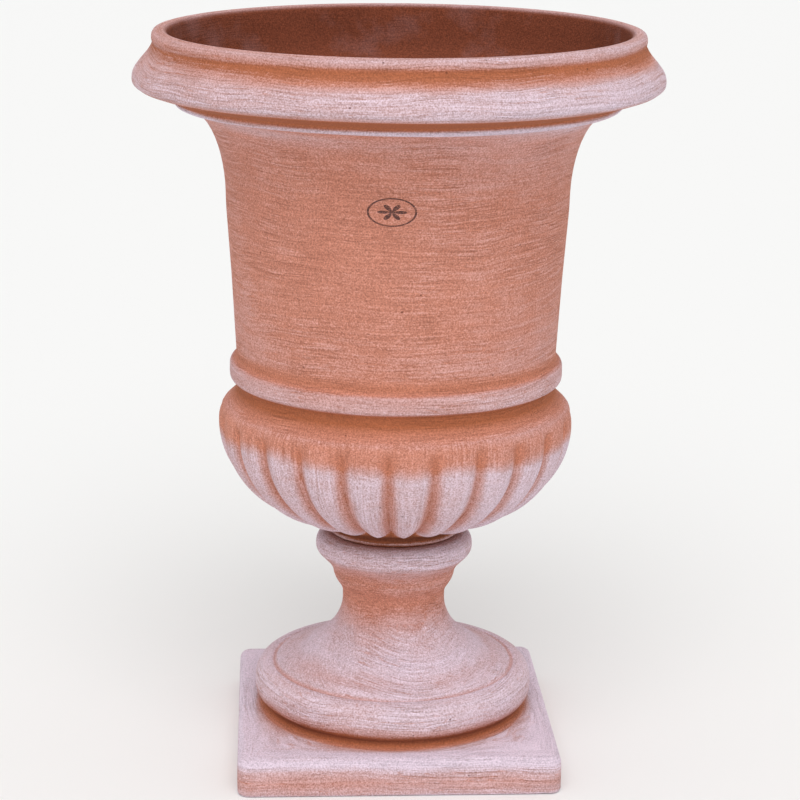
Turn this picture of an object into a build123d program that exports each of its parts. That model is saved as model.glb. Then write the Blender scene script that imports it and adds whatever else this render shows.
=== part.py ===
"""A two-piece garden urn of fired clay, in the Medici krater shape.

The foot is a square plinth and a turned pedestal, moulded as one hollow piece. The bowl is
a bell-shaped cup with a rolled rim above a belly of convex lobes. The bowl stands dry on
the foot: its flat seat rests on the foot's land, and a round boss under it drops into the
foot's socket, so it lifts straight off. Water drains through the bowl's floor and down
through the hollow foot.

Units are millimetres. +Z is up, and the origin is the centre of the plinth's underside.
"""

from build123d import *

import math
import os

# Foot: plinth
plinth_side = 246.0
plinth_height = 30.0
plinth_corner_radius = 9.0
plinth_edge_radius = 7.0
plinth_base_chamfer = 2.0

# Foot: base mouldings, from the plinth up
band_radius = 102.0  # the short upright band under the base torus
band_height = 7.0
band_foot_radius = 4.0
torus_projection = 6.0  # how far the base torus stands out from the band
torus_tube_radius = 16.5
bell_step = 3.0  # from the torus's tube centre out to the crease where the bell starts
bell_length = 16.5  # how far in from the crease the bell turns hollow
bell_rise = 6.5

# Foot: stem and collar, measured down from the land that the bowl stands on
foot_height = 173.0
waist_radius = 40.4
waist_drop = 55.0
waist_height = 4.0
ring_projection = 7.6
ring_top_drop = 31.0
ring_bottom_drop = 40.0
collar_projection = 21.5
collar_drop = 12.0

# Foot: hollow
stem_wall = 14.4
base_wall = 14.0
hollow_drop = 17.0  # from the bell's crease down to the top of the foot's wide mouth

# Where the two pieces meet
boss_radius = 35.0
boss_length = 10.0
boss_clearance = 1.0  # all round the boss, in the socket
socket_spare_depth = 3.0
seat_radius = 52.0
seat_edge_radius = 1.5
land_margin = 2.0  # how much wider the foot's land is than the bowl's seat

# Bowl: belly. Heights are above the seat.
belly_radius = 137.3  # over the lobes, at the widest
belly_height = 90.5
belly_depth = 79.5  # half height of the ellipse that the belly follows below its widest
belly_core_radius = 40.0  # the ellipse's centre stands this far from the axis
shoulder_roll_radius = 22.0
lobe_count = 24
lobe_depth = 5.0
bowl_turn = -5.2  # degrees from the middle of the plinth's front to the nearest valley
disc_flare = 1.5  # how much wider the seat disc is where it meets the belly

# Bowl: scotia, bead and neck
shoulder_setback = 8.3
scotia_radius_step = 0.4  # how much wider the scotia is than the foot of the neck
scotia_rise = 10.4
bead_projection = 5.4
bead_bottom = 123.5
bead_top = 140.5
neck_radius = 122.8
neck_bottom = 145.0

# Bowl: flare and rim. Drops are below the lip's top, and setbacks are in from the rim.
bowl_height = 392.0
rim_radius = 200.0
flare_setback = 37.7
flare_drop = 57.8
flare_reach = 32.0
flare_rise = 71.0
flare_start = 172.0  # degrees round the flare's ellipse where it takes over from the neck
ridge_setback = 28.7
ridge_drop = 52.0
rim_edge_setback = 3.0
rim_edge_drop = 42.5
rim_drop = 36.5
lip_setback = 15.2
lip_drop = 9.5
lip_width = 12.8
lip_top_width = 5.5  # in from the lip's inner edge to its top
lip_edge_drop = 4.0

# Bowl: inside
bowl_wall = 15.0
inner_flare_end = 110.0  # degrees round the inner ellipse where the mouth opens out
drain_radius = 12.5

# Heights and radii that follow from those
band_bottom = plinth_height + band_foot_radius
band_top = plinth_height + band_height
torus_centre_radius = band_radius + torus_projection - torus_tube_radius
torus_centre = band_top + math.sqrt(torus_tube_radius**2 - (band_radius - torus_centre_radius) ** 2)
crease_radius = torus_centre_radius + bell_step
crease = torus_centre + math.sqrt(torus_tube_radius**2 - bell_step**2)
waist_bottom = foot_height - waist_drop
waist_top = waist_bottom + waist_height
ring_radius = waist_radius + ring_projection
collar_radius = waist_radius + collar_projection
land_radius = seat_radius + land_margin
stem_bore_radius = waist_radius - stem_wall
mouth_radius = band_radius - base_wall
socket_radius = boss_radius + boss_clearance
socket_floor = foot_height - boss_length - socket_spare_depth

bowl_top = foot_height + bowl_height
belly_middle = foot_height + belly_height
lobe_pitch = 360.0 / lobe_count
lobe_start = bowl_turn - 90.0
shoulder_radius = belly_radius - shoulder_setback
shoulder_angle = math.degrees(math.acos(1.0 - shoulder_setback / shoulder_roll_radius))
shoulder = belly_middle + shoulder_roll_radius * math.sin(math.radians(shoulder_angle))
scotia_radius = neck_radius + scotia_radius_step
flare_radius = rim_radius - flare_setback
flare_centre = bowl_top - flare_drop - flare_rise
flare_angle = math.degrees(
    math.atan2(flare_reach * math.sin(math.radians(flare_start)),
               -flare_rise * math.cos(math.radians(flare_start)))
)
lip_radius = rim_radius - lip_setback
mouth_edge_radius = lip_radius - lip_width

# Bowl: inside, one wall in from the valleys of the lobes and from the neck
inner_step = lobe_depth + bowl_wall
inner_across = belly_radius - belly_core_radius - inner_step
inner_down = belly_depth - inner_step
floor = belly_middle - inner_down
inner_neck_radius = neck_radius - bowl_wall
inner_reach = flare_reach + bowl_wall
inner_rise = flare_rise + bowl_wall


def curve(start, end, leaving, arriving, pull):
    """Control points of a curve between two points, leaving and arriving at angles in degrees.

    The pull is the length of its handles as a share of the distance between the points.
    """
    reach = pull * math.dist(start, end)
    return (
        start,
        (start[0] + reach * math.cos(math.radians(leaving)),
         start[1] + reach * math.sin(math.radians(leaving))),
        (end[0] - reach * math.cos(math.radians(arriving)),
         end[1] - reach * math.sin(math.radians(arriving))),
        end,
    )


def belly_place(angle):
    """Radius and height of the belly over its lobes, at an angle above its widest place."""
    across = math.cos(math.radians(angle))
    up = math.sin(math.radians(angle))
    if angle < 0:
        radius = belly_core_radius + (belly_radius - belly_core_radius) * across
        return radius, belly_middle + belly_depth * up
    return belly_radius - shoulder_roll_radius * (1 - across), belly_middle + shoulder_roll_radius * up


def ellipse_place(reach, rise, angle):
    """A point of an ellipse about the flare's centre."""
    turn = math.radians(angle)
    return flare_radius + reach * math.cos(turn), flare_centre + rise * math.sin(turn)


# ---------------------------------------------------------------------------- foot
crease_point = (crease_radius, crease)
bell_point = (crease_radius - bell_length, crease + bell_rise)
waist_point = (waist_radius, waist_bottom)
ring_bottom_point = (ring_radius - 2.8, foot_height - ring_bottom_drop)
ring_top_point = (ring_radius, foot_height - ring_top_drop)
collar_point = (collar_radius, foot_height - collar_drop)

with BuildPart() as foot:
    with BuildSketch():
        RectangleRounded(plinth_side, plinth_side, plinth_corner_radius)
    extrude(amount=plinth_height)
    fillet(foot.faces().sort_by(Axis.Z)[-1].edges(), plinth_edge_radius)
    chamfer(foot.faces().sort_by(Axis.Z)[0].edges(), plinth_base_chamfer)

    # The turned mouldings, from the plinth's top to the land.
    with BuildSketch(Plane.XZ):
        with BuildLine():
            Polyline(
                (0, foot_height),
                (0, plinth_height / 2),
                (band_radius + band_foot_radius, plinth_height / 2),
                (band_radius + band_foot_radius, plinth_height),
            )
            RadiusArc(
                (band_radius + band_foot_radius, plinth_height),
                (band_radius, band_bottom),
                band_foot_radius,
            )
            Line((band_radius, band_bottom), (band_radius, band_top))
            ThreePointArc(
                (band_radius, band_top),
                (torus_centre_radius + torus_tube_radius, torus_centre),
                crease_point,
            )
            Bezier(*curve(crease_point, bell_point, 125, 158, 0.35))
            Bezier(*curve(bell_point, waist_point, 158, 90, 0.3))
            Line(waist_point, (waist_radius, waist_top))
            Bezier(*curve((waist_radius, waist_top), ring_bottom_point, 90, 50, 0.35))
            Bezier(*curve(ring_bottom_point, ring_top_point, 60, 90, 0.35))
            Bezier(*curve(ring_top_point, collar_point, 65, 90, 0.45))
            Bezier(*curve(collar_point, (land_radius, foot_height), 90, 170, 0.45))
            Line((land_radius, foot_height), (0, foot_height))
        make_face()
    revolve(axis=Axis.Z)

    # The hollow: a wide mouth, the bell, the stem's bore and the socket for the boss.
    with BuildSketch(Plane.XZ):
        with BuildLine():
            Polyline((0, foot_height), (0, 0), (mouth_radius, 0), (mouth_radius, crease - hollow_drop))
            EllipticalCenterArc(
                (mouth_radius, waist_bottom),
                mouth_radius - stem_bore_radius,
                waist_bottom - crease + hollow_drop,
                start_angle=180,
                arc_size=90,
            )
            Polyline(
                (stem_bore_radius, waist_bottom),
                (stem_bore_radius, socket_floor),
                (socket_radius, socket_floor),
                (socket_radius, foot_height),
                (0, foot_height),
            )
        make_face()
    revolve(axis=Axis.Z, mode=Mode.SUBTRACT)

# ---------------------------------------------------------------------------- bowl
# Each section of the belly is an angle above its widest place, and the depth of the
# valleys there as a share of the full depth. The lobes part into petals at the bottom
# and die out at the top.
belly_sections = [
    (-71.0, 1.0),
    (-66.0, 1.6),
    (-58.0, 1.3),
    (-45.0, 1.0),
    (-30.0, 1.0),
    (-15.0, 1.0),
    (0.0, 0.95),
    (18.0, 0.7),
]
lobes_end = 33.0
lobes_end_radius, lobes_end_height = belly_place(lobes_end)
petal_height = belly_place(belly_sections[0][0])[1]

lobes_end_point = (lobes_end_radius, lobes_end_height)
shoulder_point = (shoulder_radius, shoulder)
scotia_point = (scotia_radius, shoulder + scotia_rise)
bead_bottom_point = (scotia_radius, foot_height + bead_bottom)
bead_top_point = (neck_radius, foot_height + bead_top)
bead_middle = foot_height + (bead_bottom + bead_top) / 2
neck_point = (neck_radius, foot_height + neck_bottom)
flare_start_point = ellipse_place(flare_reach, flare_rise, flare_start)
flare_end_point = ellipse_place(flare_reach, flare_rise, 90.0)
ridge_point = (rim_radius - ridge_setback, bowl_top - ridge_drop)
rim_edge_point = (rim_radius - rim_edge_setback, bowl_top - rim_edge_drop)
rim_point = (rim_radius, bowl_top - rim_drop)
lip_point = (lip_radius, bowl_top - lip_drop)
lip_top_point = (mouth_edge_radius + lip_top_width, bowl_top)

with BuildPart() as bowl:
    # The lobed belly, as a solid body.
    for angle, share in belly_sections:
        crest, height = belly_place(angle)
        valley = crest - lobe_depth * share
        with BuildSketch(Plane.XY.offset(height)):
            with BuildLine():
                for number in range(lobe_count):
                    start = lobe_start + number * lobe_pitch
                    ThreePointArc(
                        Vector(valley, 0).rotate(Axis.Z, start),
                        Vector(crest, 0).rotate(Axis.Z, start + lobe_pitch / 2),
                        Vector(valley, 0).rotate(Axis.Z, start + lobe_pitch),
                    )
            make_face()
    with BuildSketch(Plane.XY.offset(lobes_end_height)):
        with BuildLine():
            for number in range(lobe_count):
                CenterArc((0, 0), lobes_end_radius, lobe_start + number * lobe_pitch, lobe_pitch)
        make_face()
    loft()

    # Everything above the lobes is turned.
    with BuildSketch(Plane.XZ):
        with BuildLine():
            Polyline((0, bowl_top), (0, lobes_end_height), lobes_end_point)
            RadiusArc(lobes_end_point, shoulder_point, -shoulder_roll_radius)
            Bezier(*curve(shoulder_point, scotia_point, 140, 90, 0.4))
            Line(scotia_point, bead_bottom_point)
            ThreePointArc(bead_bottom_point, (neck_radius + bead_projection, bead_middle), bead_top_point)
            Polyline(bead_top_point, neck_point, flare_start_point)
            EllipticalCenterArc(
                (flare_radius, flare_centre),
                flare_reach,
                flare_rise,
                start_angle=90,
                arc_size=flare_start - 90,
            )
            Bezier(*curve(flare_end_point, ridge_point, 15, 50, 0.35))
            Line(ridge_point, rim_edge_point)
            Bezier(*curve(rim_edge_point, rim_point, 55, 90, 0.35))
            Bezier(*curve(rim_point, lip_point, 90, 105, 0.4))
            Bezier(*curve(lip_point, lip_top_point, 80, 180, 0.5))
            Line(lip_top_point, (0, bowl_top))
        make_face()
    revolve(axis=Axis.Z)

    # The disc that stands on the foot, and the boss that centres it there.
    with BuildSketch(Plane.XZ):
        with BuildLine():
            Polyline(
                (0, foot_height - boss_length),
                (boss_radius, foot_height - boss_length),
                (boss_radius, foot_height),
                (seat_radius - seat_edge_radius, foot_height),
            )
            RadiusArc(
                (seat_radius - seat_edge_radius, foot_height),
                (seat_radius, foot_height + seat_edge_radius),
                -seat_edge_radius,
            )
            Polyline(
                (seat_radius, foot_height + seat_edge_radius),
                (seat_radius + disc_flare, petal_height),
                (0, petal_height),
                (0, foot_height - boss_length),
            )
        make_face()
    revolve(axis=Axis.Z)

    # The space inside, which opens out towards the lip.
    with BuildSketch(Plane.XZ):
        with BuildLine():
            Line((0, floor), (belly_core_radius, floor))
            EllipticalCenterArc(
                (belly_core_radius, belly_middle),
                inner_across,
                inner_down,
                start_angle=270,
                arc_size=90,
            )
            Bezier(
                *curve(
                    (belly_core_radius + inner_across, belly_middle),
                    (inner_neck_radius, foot_height + neck_bottom),
                    90,
                    90,
                    0.45,
                )
            )
            Line(
                (inner_neck_radius, foot_height + neck_bottom),
                ellipse_place(inner_reach, inner_rise, flare_start),
            )
            EllipticalCenterArc(
                (flare_radius, flare_centre),
                inner_reach,
                inner_rise,
                start_angle=inner_flare_end,
                arc_size=flare_start - inner_flare_end,
            )
            Bezier(
                *curve(
                    ellipse_place(inner_reach, inner_rise, inner_flare_end),
                    (mouth_edge_radius, bowl_top - lip_edge_drop),
                    34,
                    85,
                    0.4,
                )
            )
            Bezier(*curve((mouth_edge_radius, bowl_top - lip_edge_drop), lip_top_point, 90, 0, 0.5))
            Polyline(lip_top_point, (0, bowl_top), (0, floor))
        make_face()
    revolve(axis=Axis.Z, mode=Mode.SUBTRACT)

    with Locations((0, 0, floor)):
        Hole(drain_radius)

# -------------------------------------------------------------------------- output
os.makedirs("parts", exist_ok=True)

foot.part.label = "foot"
export_step(foot.part, "parts/foot.step")

bowl.part.label = "bowl"
export_step(bowl.part, "parts/bowl.step")
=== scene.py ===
"""A two-piece garden urn of lime-washed terracotta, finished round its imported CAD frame.

Each piece is a closed mesh turned from an outline in millimetres. The outline carries its
finish along with it: how much lime wash it holds, how deep its clay colour is, and so on.
The materials read those from the mesh and add brush strokes, grit and pits of real size.
"""

import math
import random
from functools import partial

import bpy
import numpy as np
from bpy.props import FloatProperty, FloatVectorProperty, IntProperty, PointerProperty
from mathutils import Matrix, Vector


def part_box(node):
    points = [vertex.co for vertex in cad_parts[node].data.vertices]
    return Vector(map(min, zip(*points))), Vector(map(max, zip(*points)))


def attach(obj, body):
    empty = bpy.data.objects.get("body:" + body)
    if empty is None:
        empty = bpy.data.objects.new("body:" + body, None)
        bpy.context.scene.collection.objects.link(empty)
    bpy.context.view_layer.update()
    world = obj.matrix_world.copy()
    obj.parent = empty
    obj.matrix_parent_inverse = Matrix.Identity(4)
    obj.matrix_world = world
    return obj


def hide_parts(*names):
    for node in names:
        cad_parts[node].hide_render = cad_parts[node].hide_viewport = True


bl_info = {
    "name": "Lime-washed urn",
    "version": (1, 0, 0),
    "blender": (4, 5, 0),
    "location": "3D View > Sidebar > Urn",
    "description": "Builds a two-piece terracotta urn and its stage round a CAD frame",
    "category": "Add Mesh",
}

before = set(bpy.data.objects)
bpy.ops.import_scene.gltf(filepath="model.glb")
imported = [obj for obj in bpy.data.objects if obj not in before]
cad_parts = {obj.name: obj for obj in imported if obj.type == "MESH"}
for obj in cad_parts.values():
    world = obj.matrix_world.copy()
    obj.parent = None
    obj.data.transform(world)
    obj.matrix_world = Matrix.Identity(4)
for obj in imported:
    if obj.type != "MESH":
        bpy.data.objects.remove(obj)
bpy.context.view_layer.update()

MM = 0.001  # metres in a millimetre


def colour(code):
    """An sRGB hex colour as linear RGB."""
    values = [int(code[k:k + 2], 16) / 255 for k in (1, 3, 5)]
    return tuple(v / 12.92 if v <= 0.04045 else ((v + 0.055) / 1.055) ** 2.4 for v in values)


# ------------------------------------------------------------------------- settings
class UrnShape(bpy.types.PropertyGroup):
    """Sizes of the two turned pieces."""

    lobe_count: IntProperty(name="Lobes", description="Lobes round the belly", default=24, min=6)
    groove_depth: FloatProperty(
        name="Groove depth", description="Depth of the grooves between the lobes",
        default=6.6 * MM, subtype="DISTANCE")
    bowl_turn: FloatProperty(
        name="Bowl turn", description="Angle from the plinth's front to the nearest groove",
        default=math.radians(-5.2), subtype="ANGLE")
    edge_wear: FloatProperty(
        name="Edge wear", description="How far the edges are rubbed round",
        default=0.9 * MM, subtype="DISTANCE")
    wobble: FloatProperty(
        name="Wobble", description="Depth of the slow waves that a hand leaves",
        default=0.5 * MM, subtype="DISTANCE")
    slump: FloatProperty(
        name="Slump", description="How far the rim hangs down on one side",
        default=2.5 * MM, subtype="DISTANCE")
    wall: FloatProperty(
        name="Wall", description="Thickness of the bowl's wall",
        default=15.0 * MM, subtype="DISTANCE")


class ClayLook(bpy.types.PropertyGroup):
    """Colours and surface of the washed clay."""

    clay: FloatVectorProperty(
        name="Clay", description="Fired clay where the wash is thin", subtype="COLOR",
        default=colour("#D5917C"))
    clay_dark: FloatVectorProperty(
        name="Darker clay", description="The clay's darker patches and brush lines", subtype="COLOR",
        default=colour("#BA7762"))
    clay_deep: FloatVectorProperty(
        name="Deep clay", description="Clay in recesses that the brush missed", subtype="COLOR",
        default=colour("#AE6645"))
    # Painted shade: this dark colour stands in for the shade in the gap at the seat, under the torus
    # and, a little, in the recesses.
    painted_shade_colour: FloatVectorProperty(
        name="Soiled clay", description="The deepest joints, dark with dust and damp", subtype="COLOR",
        default=colour("#6E3A28"))
    wash: FloatVectorProperty(
        name="Lime wash", description="The pale wash where it lies thick", subtype="COLOR",
        default=colour("#DDCBD9"))
    wash_thin: FloatVectorProperty(
        name="Thin wash", description="The pale wash where it has dried thin", subtype="COLOR",
        default=colour("#D0B1B5"))
    # The inside's darkness is partly the bare clay and partly painted shade in the bowl's hollow.
    inside: FloatVectorProperty(
        name="Inside clay", description="Bare, darker clay inside the bowl", subtype="COLOR",
        default=colour("#8C4B34"))
    inside_dark: FloatVectorProperty(
        name="Darker inside", description="The darker patches inside the bowl", subtype="COLOR",
        default=colour("#6C3624"))
    # Painted shade: the dark colour of an open air hole stands in for the shade inside it.
    hole: FloatVectorProperty(
        name="Air hole", description="The dark bottom of an open air hole", subtype="COLOR",
        default=colour("#6B3B2A"))
    ink: FloatVectorProperty(
        name="Ink", description="The printed rosette on the neck", subtype="COLOR",
        default=colour("#3C2A2C"))
    stroke: FloatProperty(
        name="Brush line", description="Spacing of the brush's bristle lines",
        default=1.1 * MM, subtype="DISTANCE")
    stroke_length: FloatProperty(
        name="Stroke length", description="Length of a bristle line",
        default=32.0 * MM, subtype="DISTANCE")
    pit: FloatProperty(
        name="Pit spacing", description="From one air hole to the next",
        default=14.0 * MM, subtype="DISTANCE")
    grit: FloatProperty(
        name="Grit", description="Size of the clay's grit", default=1.2 * MM, subtype="DISTANCE")


class StageLook(bpy.types.PropertyGroup):
    """Camera and lights."""

    lens: FloatProperty(name="Lens", description="Focal length", default=109.7, unit="CAMERA")
    distance: FloatProperty(
        name="Distance", description="From the urn's axis to the camera", default=1.8256,
        subtype="DISTANCE")
    height: FloatProperty(
        name="Height", description="Of the camera above the ground", default=0.7571,
        subtype="DISTANCE")
    shift: FloatProperty(
        name="Shift", description="How far the lens is moved right, in picture widths",
        default=0.0054)
    turn: FloatProperty(
        name="Turn", description="How far round to the left the camera stands",
        default=math.radians(3.09), subtype="ANGLE")
    dip: FloatProperty(
        name="Dip", description="How far the camera looks down", default=math.radians(14.73),
        subtype="ANGLE")
    roll: FloatProperty(
        name="Roll", description="How far the camera is out of level", default=math.radians(0.62),
        subtype="ANGLE")
    key: FloatProperty(name="Key light", description="Strength of the broad front light", default=1.35)
    softness: FloatProperty(
        name="Softness", description="Angle over which the front light spreads",
        default=math.radians(50), subtype="ANGLE")
    sky: FloatProperty(name="Sky", description="Strength of the even white light", default=0.70)
    floor: FloatVectorProperty(
        name="Floor", description="Colour of the paper sweep", subtype="COLOR",
        default=colour("#F6F6F5"))


# ------------------------------------------------------------------------- outlines
# What the surface holds at a place: how much wash, and how deep its clay colour is, from
# the pale clay at 0 to the strong clay of a recess at 1 and a dark painted shade at 2.
FINISHES = {
    # Clay that the brush passed over, from bare to thickly washed.
    "clay": (0.08, 0.0),
    "inside": (0.10, 0.0),
    "brushed": (0.24, 0.0),
    "wash_and_light": (0.34, 0.0),
    "half": (0.48, 0.0),
    "streaked": (0.64, 0.0),
    "washed": (0.86, 0.0),
    "crease": (0.95, 0.15),
    "thick": (1.12, 0.0),
    "full": (1.48, 0.0),
    # Clay that it missed, from open to shut in. Past a depth of 1 it darkens with painted shade: a
    # little in the recesses, most under the torus and in the gap at the seat.
    "shade": (-0.10, 0.6),
    "missed": (0.0, 1.0),
    "recess": (-0.35, 1.2),
    "deep_shade": (-0.35, 1.75),
    "joint_shade": (-0.35, 1.9),
}


class Outline:
    """Places along a turned outline, as radius and height in mm, each with its finish."""

    spacing = 1.0  # mm from place to place

    def __init__(self, radius, height, finish):
        self.places = [(radius, height)]
        self.finishes = [FINISHES[finish]]

    def _add(self, places, finish):
        first, last = self.finishes[-1], FINISHES[finish]
        for number, place in enumerate(places, 1):
            share = number / len(places)
            self.places.append(place)
            self.finishes.append(tuple(a + (b - a) * share for a, b in zip(first, last)))

    def line(self, radius, height, finish):
        """A straight run to a place."""
        start = self.places[-1]
        count = max(1, round(math.dist(start, (radius, height)) / self.spacing))
        self._add([(start[0] + (radius - start[0]) * k / count,
                    start[1] + (height - start[1]) * k / count) for k in range(1, count + 1)], finish)

    def curve(self, radius, height, finish, leaving, arriving, pull=0.37):
        """A curve to a place, leaving and arriving at angles in degrees from outwards."""
        a, d = self.places[-1], (radius, height)
        length = math.dist(a, d)
        reach = pull * length
        b = (a[0] + reach * math.cos(math.radians(leaving)),
             a[1] + reach * math.sin(math.radians(leaving)))
        c = (d[0] - reach * math.cos(math.radians(arriving)),
             d[1] - reach * math.sin(math.radians(arriving)))
        count = max(3, round(1.2 * length / self.spacing))
        places = []
        for k in range(1, count + 1):
            t = k / count
            weights = ((1 - t) ** 3, 3 * t * (1 - t) ** 2, 3 * t * t * (1 - t), t ** 3)
            places.append(tuple(sum(w * p[axis] for w, p in zip(weights, (a, b, c, d)))
                                for axis in (0, 1)))
        self._add(places, finish)

    def ellipse(self, centre, reach, rise, start, end, finish):
        """Part of an ellipse, between two angles in degrees."""
        count = max(4, round(math.radians(abs(end - start)) * max(reach, rise) / self.spacing))
        turns = [math.radians(start + (end - start) * k / count) for k in range(count + 1)]
        self._add([(centre[0] + reach * math.cos(t), centre[1] + rise * math.sin(t))
                   for t in turns], finish)


def worn(outline, wear, longest):
    """Rubs an outline's edges round and picks the rows that its shape needs.

    Returns one array of rows: radius, height, length along the outline, the outward
    direction (radius, height), and the finish. Edges that stand out take more wash and
    hollows less, as a brush leaves it; this also paints a highlight on the edges and shade
    in the hollows.
    """
    spacing, sharpest_turn = 0.5, math.radians(10)
    finish_spread, bend_spread = 1.3, 1.2
    wash_and_highlight_gain, wash_and_highlight_most = 1.1, 0.3
    raw = np.array([(*p, *f) for p, f in zip(outline.places, outline.finishes)])
    keep = np.ones(len(raw), bool)
    keep[1:] = np.hypot(*np.diff(raw[:, :2], axis=0).T) > 1e-6
    raw = raw[keep]
    r, z = raw[:, 0], raw[:, 1]
    if np.sum(r * np.roll(z, -1) - np.roll(r, -1) * z) < 0:
        raw = raw[::-1]
    loop = np.vstack([raw, raw[:1]])
    length = np.concatenate([[0], np.cumsum(np.hypot(*np.diff(loop[:, :2], axis=0).T))])
    count = int(length[-1] / spacing)
    at = np.linspace(0, length[-1], count, endpoint=False)
    even = np.stack([np.interp(at, length, column) for column in loop.T], 1)
    step = length[-1] / count

    def blurred(values, size):
        reach = int(4 * size / step) + 1
        offsets = np.arange(-reach, reach + 1)
        weights = np.exp(-0.5 * (offsets * step / size) ** 2)
        return sum(w * np.roll(values, -o, axis=0) for w, o in zip(weights / weights.sum(), offsets))

    even[:, :2] = blurred(even[:, :2], wear)
    tangent = np.roll(even[:, :2], -1, axis=0) - np.roll(even[:, :2], 1, axis=0)
    tangent /= np.hypot(*tangent.T)[:, None]
    outward = np.stack([tangent[:, 1], -tangent[:, 0]], 1)
    turn = np.unwrap(np.arctan2(tangent[:, 1], tangent[:, 0]))
    bend = blurred(np.gradient(turn) / step, bend_spread)
    even[:, 2:] = blurred(even[:, 2:], finish_spread)
    # Standing edges take more wash and hollows less: partly the brush, partly a painted highlight on
    # the edges and painted shade in the hollows.
    even[:, 2] += np.clip(wash_and_highlight_gain * bend, -wash_and_highlight_most, wash_and_highlight_most)
    rows = np.column_stack([even[:, :2], at, outward, even[:, 2:]])

    # A row is needed where the outline has turned by enough or run on for long enough.
    chosen, last = [0], 0
    for k in range(1, count):
        if abs(turn[k] - turn[last]) > sharpest_turn or at[k] - at[last] >= longest(rows[k]):
            chosen.append(k)
            last = k
    return rows[chosen]


def lathe(name, places, values):
    """Joins rows of places into a closed mesh and stores each vertex's finish on it."""
    along, around = places.shape[:2]
    index = np.arange(around * along).reshape(along, around)
    up, right = np.roll(index, -1, axis=0), np.roll(index, -1, axis=1)
    corners = np.stack([index, right, np.roll(up, -1, axis=1), up], -1).reshape(-1, 4)
    mesh = bpy.data.meshes.new(name)
    mesh.from_pydata((places.reshape(-1, 3) * MM).tolist(), [], corners.tolist())
    mesh.shade_smooth()
    for label, data in values.items():
        kind = "FLOAT_VECTOR" if data.ndim == 3 else "FLOAT"
        layer = mesh.attributes.new(label, kind, "POINT")
        layer.data.foreach_set("vector" if data.ndim == 3 else "value", data.ravel().astype("f"))
    made = bpy.data.objects.new(name, mesh)
    bpy.context.scene.collection.objects.link(made)
    return made


def smooth(low, high, value):
    """0 below low, 1 above high, and an easy slope between."""
    share = np.clip((value - low) / (high - low), 0, 1)
    return share * share * (3 - 2 * share)


def slow_waves(angles, heights, seed):
    """Slow, uneven waves between about -1 and 1 over a turned piece."""
    dice = random.Random(seed)
    whole_turn, most_drift, highest = 6.3, 0.02, 1.2
    total = np.zeros((len(heights), len(angles)))
    for times in (2, 3, 5, 8):
        start, drift = dice.uniform(0, whole_turn), dice.uniform(-most_drift, most_drift)
        total += np.sin(times * angles[None, :] + start + drift * heights[:, None]) / times
    return total / highest


def dents(places, outward, spots):
    """Pushes small dents into the surface. A spot is a place, a width and a depth in mm."""
    for place, width, depth in spots:
        away = ((places - np.array(place)) ** 2).sum(-1)
        places -= outward * (depth * np.exp(-away / width ** 2))[..., None]


# ------------------------------------------------------------------------- materials
def node(tree, kind, inputs=None, out=0, **settings):
    """Adds a node with its settings, sets or links its inputs, and returns one output or all."""
    made = tree.nodes.new(kind)
    for name, value in settings.items():
        setattr(made, name, value)
    for name, value in (inputs or {}).items():
        socket = made.inputs[name]
        if isinstance(value, bpy.types.NodeSocket):
            tree.links.new(value, socket)
        elif socket.type == "RGBA":
            socket.default_value = (*value[:3], 1)
        else:
            socket.default_value = value
    return made.outputs if out is None else made.outputs[out]


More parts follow.
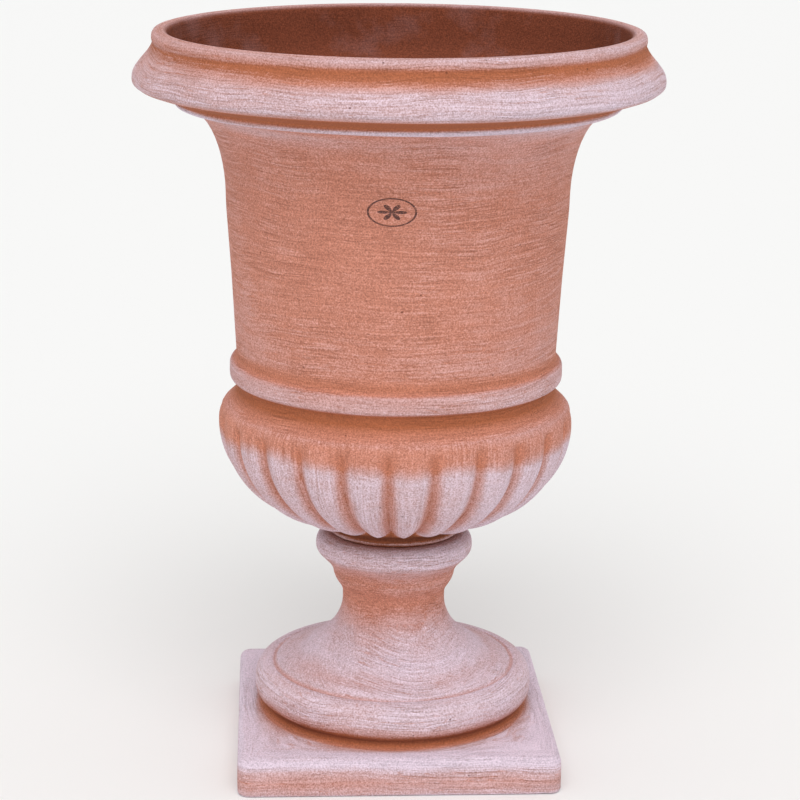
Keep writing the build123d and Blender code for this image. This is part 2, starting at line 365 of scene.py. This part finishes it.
def lime_washed_terracotta(name, look, shift, mark=None):
    """Unglazed fired clay, brushed with thin lime wash.

    The wash is lilac-white and lets the salmon clay through; the bristles leave fine
    lines in it, grit shows as specks, and a few air holes are open. Shift sets one
    piece's brush lines apart from another's. A mark is the middle of a small inked
    rosette, in metres.
    """
    material = bpy.data.materials.new(name)
    material.use_nodes = True
    tree = material.node_tree
    tree.nodes.clear()
    add = partial(node, tree)
    # A colour mix takes its two colours at 6 and 7 and gives the mixed one at output 2.
    tint = {"data_type": "RGBA", "out": 2}

    wash, depth, upright, inner = (
        add("ShaderNodeAttribute", attribute_name=label, out="Fac")
        for label in ("wash", "depth", "upright", "inner"))
    place = add("ShaderNodeTexCoord", out="Object")

    # Even patterns, by the size of their features: patches of thicker wash, slow clouds
    # of tone, places where the hand pressed harder, and the clay's grit.
    patches, clouds, pressed, grit = (
        add("ShaderNodeTexNoise", {"Vector": place, "Scale": 1 / size, "Detail": detail,
                                   "Roughness": 0.65})
        for size, detail in ((26 * MM, 3.0), (90 * MM, 1.0), (48 * MM, 1.0), (look.grit, 3.0)))

    # The brush vector is a unit step round the piece and the length along its outline in
    # metres. It sways with the clouds, because no stroke of a hand is straight.
    typical_radius, most_sway = 120 * MM, 14 * MM
    sway = add("ShaderNodeMath", {0: clouds, 1: most_sway}, operation="MULTIPLY")
    sway = add("ShaderNodeCombineXYZ", {"Z": sway})
    brush = add("ShaderNodeAttribute", attribute_name="brush", out="Vector")
    brush = add("ShaderNodeVectorMath", {0: brush, 1: sway})
    lines = []
    for length, spacing in ((look.stroke_length, look.stroke),
                            (2.5 * look.stroke_length, 4.5 * look.stroke),
                            (look.stroke, 0.8 * look.stroke_length)):
        around = typical_radius / length
        moved = add("ShaderNodeVectorMath", {0: brush, 1: (around, around, 1 / spacing),
                                             2: (shift, 2 * shift, 0)}, operation="MULTIPLY_ADD")
        lines.append(add("ShaderNodeTexNoise", {"Vector": moved, "Scale": 1.0, "Roughness": 0.6}))
    level, broad, steep = lines
    strokes = add("ShaderNodeMix", {0: upright, 2: level, 3: steep})
    # The hand presses the brush harder in some places, and less hard inside.
    press = add("ShaderNodeMapRange", {0: pressed, 1: 0.38, 2: 0.62, 3: 0.45, 4: 1.15})
    press = add("ShaderNodeMath", {0: inner, 1: -0.5, 2: press}, operation="MULTIPLY_ADD")
    strokes = add("ShaderNodeMix", {0: press, 2: 0.5, 3: strokes}, clamp_factor=False)

    # Hair lines that single bristles scratched: they follow the edges of the broad strokes.
    edge = add("ShaderNodeMath", {0: broad, 1: 0.5}, operation="SUBTRACT")
    edge = add("ShaderNodeMath", {0: edge}, operation="ABSOLUTE")
    hair = add("ShaderNodeMapRange", {0: edge, 1: 0.016, 2: 0.004})
    sideways = add("ShaderNodeMath", {0: 1.0, 1: upright}, operation="SUBTRACT")
    hair = add("ShaderNodeMath", {0: hair, 1: press}, operation="MULTIPLY")
    hair = add("ShaderNodeMath", {0: hair, 1: sideways}, operation="MULTIPLY")

    # Air holes: one in each cell of a loose grid, and only some of them are open.
    away, cell = add("ShaderNodeTexVoronoi", {"Vector": place, "Scale": 1 / look.pit}, out=None)[:2]
    hole = add("ShaderNodeMapRange", {0: away, 1: 0.06, 2: 0.035})
    chance = add("ShaderNodeSeparateColor", {0: cell})
    opened = add("ShaderNodeMath", {0: chance, 1: 0.5}, operation="GREATER_THAN")
    hole = add("ShaderNodeMath", {0: hole, 1: opened}, operation="MULTIPLY")

    # Patterns added up, each with its weight: how thick the wash lies, from its zone, the
    # tone of the clay, the pale smears inside, the specks, and the relief.
    totals = []
    for total, parts in (
            (wash, ((strokes, 0.75), (broad, 0.25), (patches, 0.34), (clouds, 0.2), (grit, 1.0),
                    (hair, -0.25))),
            (0.0, ((strokes, 0.8), (patches, 0.35), (clouds, 0.4), (grit, 1.2), (hair, -0.12))),
            (0.0, ((patches, 1.0), (pressed, 1.0))),
            (0.0, ((grit, 1.5), (strokes, 0.6))),
            (0.0, ((strokes, 1.0), (broad, 0.3), (grit, 0.9), (hair, -0.35), (hole, -1.2)))):
        for pattern, weight in parts:
            total = add("ShaderNodeMath", {0: pattern, 1: weight, 2: total}, operation="MULTIPLY_ADD")
        totals.append(total)
    laid, tone, smear, specks, relief = totals
    cover = add("ShaderNodeMapRange", {0: laid, 1: 1.33, 2: 2.18})
    thickness = add("ShaderNodeMapRange", {0: laid, 1: 1.95, 2: 2.55})
    tone = add("ShaderNodeMapRange", {0: tone, 1: 0.95, 2: 1.7})
    # Past a depth of 1 the clay darkens towards the painted shade colour.
    painted_shade = add("ShaderNodeMapRange", {0: depth, 1: 1.0, 2: 2.0})
    smear = add("ShaderNodeMapRange", {0: smear, 1: 1.0, 2: 1.35, 4: 0.07})
    specks = add("ShaderNodeMapRange", {0: specks, 1: 0.8, 2: 1.3, 3: 0.76, 4: 1.24})

    # The clay, its recesses, and painted shade in its joints and under the torus, then the film of wash
    # over them.
    clay = add("ShaderNodeMix", {0: tone, 6: look.clay_dark, 7: look.clay}, **tint)
    body = add("ShaderNodeMix", {0: depth, 6: clay, 7: look.clay_deep}, **tint)
    body = add("ShaderNodeMix", {0: painted_shade, 6: body, 7: look.painted_shade_colour}, **tint)
    film = add("ShaderNodeMix", {0: thickness, 6: look.wash_thin, 7: look.wash}, **tint)
    outside = add("ShaderNodeMix", {0: cover, 6: body, 7: film}, **tint)
    # Inside, the clay is darker: partly its bare colour, partly painted shade.
    within = add("ShaderNodeMix", {0: tone, 6: look.inside_dark, 7: look.inside}, **tint)
    within = add("ShaderNodeMix", {0: smear, 6: within, 7: look.wash}, **tint)
    surface = add("ShaderNodeMix", {0: inner, 6: outside, 7: within}, **tint)

    if mark:
        # A plain rosette in an oval, in ink that has rubbed off in places.
        half_width, half_height = 17 * MM, 10 * MM
        line_share, petal_reach, petal_pairs = 0.045, 0.62, 3.0
        spot = add("ShaderNodeVectorMath", {0: place, 1: mark}, operation="SUBTRACT")
        spot = add("ShaderNodeVectorMath", {0: spot, 1: (1 / half_width, 0, 1 / half_height)},
                   operation="MULTIPLY")
        reach = add("ShaderNodeVectorMath", {0: spot}, out="Value", operation="LENGTH")
        x, _, z = add("ShaderNodeSeparateXYZ", {0: spot}, out=None)
        oval = add("ShaderNodeMath", {0: reach, 1: 1.0, 2: line_share}, operation="COMPARE")
        turn = add("ShaderNodeMath", {0: z, 1: x}, operation="ARCTAN2")
        petal = add("ShaderNodeMath", {0: turn, 1: petal_pairs}, operation="MULTIPLY")
        petal = add("ShaderNodeMath", {0: petal}, operation="COSINE")
        petal = add("ShaderNodeMath", {0: petal}, operation="ABSOLUTE")
        petal = add("ShaderNodeMath", {0: petal, 1: petal_reach}, operation="MULTIPLY")
        rosette = add("ShaderNodeMath", {0: reach, 1: petal}, operation="LESS_THAN")
        ink = add("ShaderNodeMath", {0: oval, 1: rosette}, operation="MAXIMUM")
        front = add("ShaderNodeSeparateXYZ", {0: place}, out=1)
        front = add("ShaderNodeMath", {0: front, 1: 0.0}, operation="LESS_THAN")
        rubbed = add("ShaderNodeMapRange", {0: grit, 1: 0.36, 2: 0.5, 3: 0.2, 4: 0.9})
        ink = add("ShaderNodeMath", {0: ink, 1: front}, operation="MULTIPLY")
        ink = add("ShaderNodeMath", {0: ink, 1: rubbed}, operation="MULTIPLY")
        surface = add("ShaderNodeMix", {0: ink, 6: surface, 7: look.ink}, **tint)

    # Open air holes are darkened with painted shade.
    shade = add("ShaderNodeMath", {0: hole, 1: 0.6}, operation="MULTIPLY")
    surface = add("ShaderNodeMix", {0: shade, 6: surface, 7: look.hole}, **tint)
    surface = add("ShaderNodeVectorMath", {0: surface, "Scale": specks}, operation="SCALE")

    # Fired clay is dead matt, and the chalky wash on it is a little more so.
    bump = add("ShaderNodeBump", {"Strength": 0.9, "Distance": 0.7 * MM, "Height": relief})
    rough = add("ShaderNodeMapRange", {0: cover, 3: 0.82, 4: 0.95})
    shader = add("ShaderNodeBsdfPrincipled", {"Base Color": surface, "Roughness": rough, "Normal": bump,
                                              "IOR": 1.5, "Specular IOR Level": 0.2})
    add("ShaderNodeOutputMaterial", {"Surface": shader}, out=None)
    return material


def studio_paper(tint):
    """Seamless studio paper, matt and even."""
    material = bpy.data.materials.new("studio_paper")
    material.use_nodes = True
    shader = material.node_tree.nodes["Principled BSDF"]
    shader.inputs["Base Color"].default_value = (*tint, 1)
    shader.inputs["Roughness"].default_value = 0.9
    return material


# ------------------------------------------------------------------------------ bowl
def bowl_outline(shape):
    """The bowl in section, from its drain hole under the boss, up the outside and down the inside."""
    low, high = (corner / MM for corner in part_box("bowl"))
    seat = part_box("foot")[1].z / MM
    top, rim = high.z - 0.3, high.x - 0.5
    core, belly, belly_rise = 40.0, 136.9, 81.0
    belly_at = seat + 90.5
    neck, drain, boss = 122.8, 12.5, 35.0
    flare, flare_reach, flare_rise = (rim - 37.2, top - 128.5), 32.0, 71.0
    wall = shape.wall / MM
    floor = wall + 5.0

    # The boss, the seat that stands on the foot, and the round edge over the gap to the foot. The gap
    # under that edge and the flank up to the petals are painted with shade.
    section = Outline(drain, low.z, "clay")
    section.line(boss, low.z, "clay")
    section.line(boss, seat, "clay")
    section.line(49.8, seat, "joint_shade")
    section.line(50.0, seat + 1.2, "joint_shade")
    section.curve(52.4, seat + 2.6, "streaked", 0, 90)
    section.curve(50.8, seat + 5.2, "joint_shade", 90, 150)
    section.line(50.6, seat + 8.0, "joint_shade")
    section.curve(56.7, seat + 11.3, "joint_shade", 85, 8)

    # The petals' backs, from under the bowl up to its shoulder, then the cove above it.
    section.ellipse((core, belly_at), belly - core, belly_rise, -80, 0, "clay")
    section.curve(129.0, seat + 107.7, "clay", 90, 146, 0.42)
    section.curve(neck + 0.4, seat + 118.0, "recess", 140, 90, 0.4)
    section.line(neck + 0.4, seat + 123.0, "recess")

    # The bead, then the neck and its flare.
    section.line(neck + 1.8, seat + 123.4, "brushed")
    section.curve(neck + 5.4, seat + 130.5, "streaked", 20, 90, 0.5)
    section.curve(neck + 1.0, seat + 140.3, "clay", 90, 165, 0.5)
    section.line(neck, seat + 142.5, "shade")
    section.line(neck + 0.6, seat + 152.0, "brushed")
    section.line(neck + 3.6, seat + 205.0, "clay")
    section.line(130.2, top - 134.0, "clay")
    section.ellipse(flare, flare_reach, flare_rise, 173, 135, "brushed")
    # The flare's top, in the rim's shade, takes more wash: partly its pale smears, partly painted
    # light.
    section.ellipse(flare, flare_reach, flare_rise, 135, 96, "wash_and_light")

    # The ledge under the rim, the rim's bulge, the bare band over it, and the lip.
    section.line(rim - 39.0, top - 57.8, "washed")
    section.curve(rim - 30.8, top - 53.4, "streaked", 0, 85, 0.5)
    section.line(rim - 31.2, top - 51.4, "recess")
    section.line(rim - 6.6, top - 43.9, "recess")
    section.line(rim - 5.2, top - 43.5, "streaked")
    section.curve(rim, top - 36.5, "washed", 40, 90, 0.5)
    section.curve(rim - 6.4, top - 23.0, "washed", 90, 130, 0.4)
    section.curve(rim - 10.2, top - 18.6, "brushed", 130, 134)
    section.curve(rim - 13.6, top - 13.8, "missed", 134, 118)
    section.curve(rim - 15.6, top - 9.4, "missed", 118, 90)
    section.curve(rim - 14.8, top - 5.4, "half", 55, 92)
    section.curve(rim - 20.0, top, "half", 92, 180, 0.5)
    section.curve(rim - 27.6, top - 6.0, "half", 180, 268, 0.5)

    # Down the inside, a wall's thickness in, to the drain hole.
    section.curve(rim - 34.0, top - 36.0, "inside", 262, 240)
    section.curve(rim - 53.5, top - 49.0, "inside", 232, 212)
    section.ellipse(flare, flare_reach + wall, flare_rise + wall, 111, 172, "inside")
    section.line(neck - wall, seat + 145.0, "inside")
    section.curve(belly - floor, belly_at, "inside", 270, 270, 0.45)
    section.ellipse((core, belly_at), belly - floor - core, belly_rise - floor, 0, -90, "inside")
    section.line(drain, belly_at - belly_rise + floor, "inside")
    return section


def build_bowl(shape, look):
    """The bowl: a flared, rolled-rim cup over a belly of petals."""
    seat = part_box("foot")[1].z / MM
    groove_depth, wobble, slump = shape.groove_depth / MM, shape.wobble / MM, shape.slump / MM

    # Heights in mm: where the petals' tips end, where the grooves and their wash begin and
    # end, the ledge's underside, and the band under the lip that the brush missed.
    tips_top, grooves_low, grooves_top, wash_top = seat + 30.0, seat + 12.0, seat + 102.5, seat + 85.5
    ledge_low, ledge_under, ledge_edge = seat + 318.0, seat + 332.0, seat + 340.0
    band_low, band_high = seat + 370.0, seat + 384.0
    lip_inside = 175.0

    def longest(row):
        """Rows lie far apart on the plain inside, and closest at the petals' lower tips."""
        row_radius, row_height, _, faces_out = row[:4]
        if faces_out < 0.2 and row_radius < lip_inside:
            return 13.0
        return 2.4 if row_height < tips_top else 3.4 if row_height < grooves_top + 4.0 else 7.0

    rows = worn(bowl_outline(shape), shape.edge_wear / MM, longest)
    radius, height, length, out_r, out_z = rows[:, :5].T
    lip = length[np.argmax(height)]
    outer = (length < lip) & (radius > 40.0) & (height > seat + 1.0)
    on_belly = (outer & (height > grooves_low) & (height < grooves_top + 3.0))[:, None]

    # The angles crowd together at the grooves, where the shape changes fastest.
    per_lobe, crowd = 18, 0.6
    turns = np.arange(shape.lobe_count * per_lobe) / per_lobe
    turns = turns - crowd * np.sin(2 * np.pi * turns) / (2 * np.pi)
    pitch = 2 * np.pi / shape.lobe_count
    angles = shape.bowl_turn - np.pi / 2 + turns * pitch
    number = np.floor(turns + 1e-9).astype(int) % shape.lobe_count

    # A groove is a soft V that opens wider down the belly, until its two sides meet
    # the next ones and each petal ends in a round tip.
    dice = random.Random(7)
    lean = np.array([dice.uniform(-0.03, 0.03) for _ in range(shape.lobe_count)])[number]
    across = np.abs(turns % 1.0 - 0.5 + lean * np.cos(np.pi * (turns % 1.0 - 0.5)))[None, :]
    half_pitch = (radius * pitch / 2)[:, None]
    rounding = 0.6 + 1.2 * smooth(seat + 60.0, seat + 95.0, height)[:, None]
    share = np.clip(1 - np.hypot((1 - 2 * across) * half_pitch, rounding) / half_pitch, 0, 1)
    blunt = 1.5 + 1.35 * smooth(seat + 18.0, seat + 90.0, height)[:, None]
    groove = share ** blunt
    groove = groove * (1 - smooth(grooves_top - 11.0, grooves_top, height[:, None] - 5.0 * (1 - share)))
    groove = np.where(on_belly, groove, 0.0)
    waves = slow_waves(angles, height, 3)
    moved = -groove_depth * groove + wobble * (waves - 1) * outer[:, None]
    flat_radius = radius[:, None] + out_r[:, None] * moved
    flat_height = height[:, None] + out_z[:, None] * moved

    # The clay slumped a little before it dried, so the rim hangs lower on its front side.
    top, lowest_side = height.max(), math.radians(-105)
    hanging = 0.5 + 0.5 * np.cos(angles - lowest_side)[None, :]
    flat_height = flat_height - slump * hanging * smooth(top - 92.0, top - 10.0, height)[:, None]
    cos, sin = np.cos(angles)[None, :], np.sin(angles)[None, :]
    blank = np.zeros_like(groove)
    places = np.stack([flat_radius * cos, flat_radius * sin, flat_height + blank], -1)
    outward = np.stack([out_r[:, None] * cos, out_r[:, None] * sin, out_z[:, None] + blank], -1)

    # Small chips and knocks along the rim, the lip and the bead.
    edges = ((199.0, 525.0), (184.0, 563.0), (173.0, 562.0), (127.5, 305.0), (184.0, 556.0))
    spots = []
    for _ in range(26):
        turn = dice.uniform(0, 2 * math.pi)
        r, z = dice.choice(edges)
        spots.append(((r * math.cos(turn), r * math.sin(turn), z), dice.uniform(2.0, 5.5),
                      dice.uniform(0.3, 0.9)))
    dents(places, outward, spots)

    # The brush washed the petals up to an uneven line and skipped the grooves.
    line_shift = np.array([dice.uniform(-4.0, 4.0) for _ in range(shape.lobe_count)])
    wash_line = wash_top + np.interp(turns, np.arange(shape.lobe_count) + 0.5, line_shift,
                                     period=shape.lobe_count)[None, :]
    petals = on_belly & (height[:, None] < seat + 106.0)
    washed = (0.14 + 0.84 * (1 - smooth(wash_line - 7.0, wash_line + 7.0, height[:, None]))
              + 0.2 * smooth(grooves_top - 3.0, grooves_top + 3.0, height[:, None]))
    wash = np.where(petals, washed - 0.62 * smooth(0.12, 0.8, groove), rows[:, 5][:, None] + blank)
    # Under the ledge the brush left streaks, and more of them at the sides than in front.
    under_ledge = ((length < lip) * smooth(ledge_low, ledge_under, height)
                   * (1 - smooth(ledge_edge - 2.0, ledge_edge, height)))[:, None]
    ragged = 0.5 + 0.5 * np.sin(5.0 * angles + 1.3 * np.sin(2.0 * angles) + 0.35 * height[:, None])
    wash = wash + 0.55 * under_ledge * ragged
    # The left side's wash wore thin, but there the brush reached into the bare band too.
    left = np.clip(-np.cos(angles), 0, 1) ** 2
    wash = wash - 0.22 * petals * left
    band = ((height > band_low) & (height < band_high) & (length < lip))[:, None]
    thin_side = left * (height > ledge_under - 2.0)[:, None]
    wash = wash + 0.10 * waves + thin_side * np.where(band, 0.35, -0.22)
    values = {
        "wash": wash,
        # In the grooves the clay deepens towards their bottoms: partly bare clay that the brush
        # skipped, partly painted shade.
        "depth": np.where(petals, 0.4 * groove + 0.5 * groove ** 4, rows[:, 6][:, None] + blank),
        "upright": np.where(petals, 1.0, blank),
        "inner": smooth(lip + 2.0, lip + 8.0, length)[:, None] + blank,
        "brush": np.stack([cos + blank, sin + blank, length[:, None] * MM + blank], -1),
    }
    bowl = lathe("bowl_turned", places, values)
    rosette = (-11 * MM, 0, 448 * MM)
    bowl.data.materials.append(lime_washed_terracotta(
        "lime_washed_terracotta_bowl", look, shift=3.0, mark=rosette))
    return bowl


# ------------------------------------------------------------------------------ foot
def foot_outline():
    """The foot in section. On the plinth its rows are square, and a radius is half a side."""
    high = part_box("foot")[1] / MM
    land, side, plinth = high.z, high.x - 0.3, 29.8

    # The socket, the land that the bowl stands on, the collar and the waist.
    section = Outline(36.0, land - 13.0, "clay")
    section.line(36.0, land, "clay")
    section.line(52.5, land, "half")
    section.curve(57.0, land - 1.6, "washed", 0, 320)
    section.curve(61.7, land - 11.5, "washed", 325, 270, 0.45)
    section.curve(56.0, land - 20.5, "half", 270, 225, 0.4)
    section.curve(48.2, land - 31.0, "brushed", 225, 245, 0.45)
    section.curve(45.4, land - 40.0, "clay", 268, 240)
    section.curve(40.4, land - 51.0, "clay", 232, 270)
    section.line(40.4, land - 55.0, "brushed")

    # The bell, the crease round it, the torus and the recess under it, whose top is painted with the
    # torus's shade.
    section.curve(46.5, 98.0, "washed", 270, 301, 0.36)
    section.curve(66.0, 79.6, "thick", 301, 322, 0.34)
    section.curve(78.2, 72.5, "washed", 322, 338)
    section.curve(92.6, 66.4, "washed", 338, 318)
    section.line(94.2, 64.2, "crease")
    section.line(95.6, 65.6, "washed")
    section.curve(109.6, 48.6, "washed", 358, 270, 0.5)
    section.curve(104.0, 37.0, "deep_shade", 270, 215, 0.4)
    section.line(103.0, 36.0, "deep_shade")
    section.line(103.0, 33.0, "recess")

    # The plinth, its underside, and the hollow up to the socket.
    section.curve(106.5, plinth, "half", 275, 358, 0.5)
    section.line(110.0, plinth, "full")
    section.line(side - 9.0, plinth, "full")
    section.curve(side, plinth - 8.0, "thick", 0, 270, 0.5)
    section.line(side, plinth - 11.0, "half")
    section.line(side, 3.0, "half")
    section.curve(side - 2.5, 0.0, "washed", 270, 180, 0.5)
    section.line(88.0, 0.0, "clay")
    section.line(88.0, 46.0, "clay")
    section.ellipse((88.0, land - 55.0), 62.0, 69.0, -90, -180, "clay")
    section.line(26.0, land - 13.0, "clay")
    return section


def square_reach(angles, half, corner):
    """Distance from the axis to the edge of a square with rounded corners."""
    c, s = np.abs(np.cos(angles))[None, :], np.abs(np.sin(angles))[None, :]
    straight = half / np.maximum(c, s)
    middle = half - corner
    round_part = middle * (c + s) + np.sqrt(
        np.maximum((middle * (c + s)) ** 2 - 2 * middle ** 2 + corner ** 2, 0))
    return np.where(straight * np.minimum(c, s) > middle, round_part, straight)


def build_foot(shape, look):
    """The foot: a hollow pedestal and its square plinth in one piece."""
    wobble = shape.wobble / MM

    def longest(row):
        """Rows lie close together on the pedestal, and far apart in the hollow and below."""
        return 4.0 if row[0] > 39.0 and row[1] > 25.0 else 9.0

    rows = worn(foot_outline(), shape.edge_wear / MM, longest)
    radius, height, length, out_r, out_z = rows[:, :5].T

    # The angles crowd together at the plinth's corners.
    around, crowd = 400, 0.5
    steps = np.linspace(0, 2 * np.pi, around, endpoint=False)
    angles = steps - crowd * np.sin(4 * (steps - np.pi / 4)) / 4

    # The plinth's corners are worn round. Rows turn square from the torus outwards, and
    # the underside's from its round opening outwards.
    plinth_top = 30.2
    side, under = radius.max(), length[np.argmax(radius)]
    hollow = under - 60.0
    corner = np.clip(9.5 - (side - radius), 2.0, None)[:, None]
    squareness = np.where(height < 15.0, smooth(90.0, 112.0, radius), smooth(106.8, 113.0, radius))
    squareness = np.where(height < plinth_top, squareness, 0.0)
    waves = slow_waves(angles, height, 11)
    on_pedestal = ((height > 31.0) & (length > under) & (radius > 37.0))[:, None]
    reach = square_reach(angles, radius[:, None], np.minimum(corner, radius[:, None] - 1))
    round_reach = radius[:, None] + out_r[:, None] * wobble * (waves - 1) * on_pedestal
    total = round_reach + (reach - round_reach) * squareness[:, None]
    cos, sin = np.cos(angles)[None, :], np.sin(angles)[None, :]
    blank = np.zeros_like(total)
    places = np.stack([total * cos, total * sin, height[:, None] + blank], -1)
    outward = np.stack([out_r[:, None] * cos, out_r[:, None] * sin, out_z[:, None] + blank], -1)

    # Chips along the plinth's four edges, above and below. None goes under the ground.
    dice = random.Random(19)
    edge = side - 1.5
    spots = []
    for _ in range(22):
        along = dice.uniform(-118, 118)
        x, y = dice.choice(((along, -edge), (along, edge), (edge, along), (-edge, along)))
        spots.append(((x, y, dice.choice((27.5, 1.5))), dice.uniform(2.0, 6.0), dice.uniform(0.4, 1.3)))
    dents(places, outward, spots)
    places[..., 2] = np.maximum(places[..., 2], 0.0)

    # The brush ran round the plinth's top as well, so the bare ring there is round too.
    on_top = ((height > 28.0) & (height < 31.0) & (radius > 106.0) & (length > under))[:, None]
    wash = np.where(on_top, 0.5 + 0.84 * smooth(107.0, 111.0, total), rows[:, 5][:, None] + blank)
    # The bell was brushed in long slanting strokes, so its rows turn and sway.
    bell = smooth(60.0, 68.0, height) * (1 - smooth(100.0, 114.0, height)) * (length > under)
    turn_per_mm, most_slant = 0.016, 7.0
    twist = np.cumsum(np.gradient(length) * bell) * turn_per_mm
    turned = angles[None, :] + twist[:, None]
    slant = most_slant * np.sin(3 * angles - 1.0)[None, :] * bell[:, None]
    values = {
        "wash": wash + 0.10 * waves,
        "depth": rows[:, 6][:, None] + blank,
        "upright": bell[:, None] * smooth(-0.2, 0.7, np.sin(2 * angles + 0.9))[None, :],
        # The foot's hollow takes the inside's darker clay, which is partly painted shade.
        "inner": np.where(length < hollow, 0.6, 0.0)[:, None] + blank,
        "brush": np.stack([np.cos(turned), np.sin(turned), (length[:, None] + slant) * MM], -1),
    }
    foot = lathe("foot_moulded", places, values)
    foot.data.materials.append(lime_washed_terracotta(
        "lime_washed_terracotta_foot", look, shift=17.0))
    return foot


# ----------------------------------------------------------------------------- stage
def build_stage(stage):
    """A pale floor, broad soft light from the front and above, and the camera."""
    scene = bpy.context.scene
    scene.view_settings.view_transform = "Standard"
    # The floor lies a hair under the plinth, so that the two flat faces don't share a plane.
    reach, level = 30.0, -0.1 * MM
    corners = ((-reach, -reach), (reach, -reach), (reach, reach), (-reach, reach))
    mesh = bpy.data.meshes.new("floor")
    mesh.from_pydata([(*corner, level) for corner in corners], [], [(0, 1, 2, 3)])
    floor = bpy.data.objects.new("floor", mesh)
    mesh.materials.append(studio_paper(stage.floor))
    scene.collection.objects.link(floor)

    world = bpy.data.worlds.new("soft_sky")
    world.use_nodes = True
    world.node_tree.nodes["Background"].inputs["Color"].default_value = (1, 1, 1, 1)
    world.node_tree.nodes["Background"].inputs["Strength"].default_value = stage.sky
    scene.world = world
    key = bpy.data.lights.new("key", "SUN")
    key.energy, key.angle = stage.key, stage.softness
    lamp = bpy.data.objects.new("key", key)
    shining = Vector((0.04, 0.85, -1.0))
    lamp.rotation_euler = shining.to_track_quat("-Z", "Y").to_euler()
    scene.collection.objects.link(lamp)

    # The camera stands back from the urn's axis, looks down a little and leans a little.
    lens = bpy.data.cameras.new("camera")
    lens.lens, lens.sensor_width, lens.shift_x = stage.lens, 36.0, stage.shift
    camera = bpy.data.objects.new("camera", lens)
    heading = Matrix.Rotation(-stage.turn, 3, "Z")
    ahead = heading @ Vector((0, math.cos(stage.dip), -math.sin(stage.dip)))
    right = heading @ Vector((1, 0, 0))
    up = right.cross(ahead)
    leant_right = math.cos(stage.roll) * right + math.sin(stage.roll) * up
    leant_up = -math.sin(stage.roll) * right + math.cos(stage.roll) * up
    turned = Matrix((leant_right, leant_up, -ahead)).transposed()
    camera.matrix_world = Matrix.LocRotScale(
        heading @ Vector((0, -stage.distance, stage.height)), turned.to_quaternion(), None)
    scene.collection.objects.link(camera)
    scene.camera = camera


# ------------------------------------------------------------------------- operators
class URN_OT_bowl(bpy.types.Operator):
    """Builds the bowl, which lifts off the foot"""

    bl_idname = "urn.bowl"
    bl_label = "Bowl"

    def execute(self, context):
        bowl = build_bowl(context.scene.urn_shape, context.scene.urn_clay)
        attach(bowl, "bowl")
        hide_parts("bowl")
        return {"FINISHED"}


class URN_OT_foot(bpy.types.Operator):
    """Builds the foot with its plinth"""

    bl_idname = "urn.foot"
    bl_label = "Foot"

    def execute(self, context):
        foot = build_foot(context.scene.urn_shape, context.scene.urn_clay)
        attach(foot, "foot")
        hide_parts("foot")
        return {"FINISHED"}


class URN_OT_stage(bpy.types.Operator):
    """Builds the floor, the lights and the camera"""

    bl_idname = "urn.stage"
    bl_label = "Stage"

    def execute(self, context):
        build_stage(context.scene.urn_stage)
        return {"FINISHED"}


class URN_PT_panel(bpy.types.Panel):
    """The urn's settings and the operators that build it"""

    bl_label = "Urn"
    bl_idname = "URN_PT_panel"
    bl_space_type = "VIEW_3D"
    bl_region_type = "UI"
    bl_category = "Urn"

    def draw(self, context):
        for group in (context.scene.urn_shape, context.scene.urn_clay, context.scene.urn_stage):
            box = self.layout.box()
            for name in group.__annotations__:
                box.prop(group, name)
        for operator in (URN_OT_foot, URN_OT_bowl, URN_OT_stage):
            self.layout.operator(operator.bl_idname)


CLASSES = (UrnShape, ClayLook, StageLook, URN_OT_bowl, URN_OT_foot, URN_OT_stage, URN_PT_panel)


def register():
    for cls in CLASSES:
        bpy.utils.register_class(cls)
    bpy.types.Scene.urn_shape = PointerProperty(type=UrnShape)
    bpy.types.Scene.urn_clay = PointerProperty(type=ClayLook)
    bpy.types.Scene.urn_stage = PointerProperty(type=StageLook)


def unregister():
    del bpy.types.Scene.urn_shape, bpy.types.Scene.urn_clay, bpy.types.Scene.urn_stage
    for cls in reversed(CLASSES):
        bpy.utils.unregister_class(cls)


def main():
    register()
    bpy.ops.urn.foot()
    bpy.ops.urn.bowl()
    bpy.ops.urn.stage()


if __name__ == "__main__":
    main()
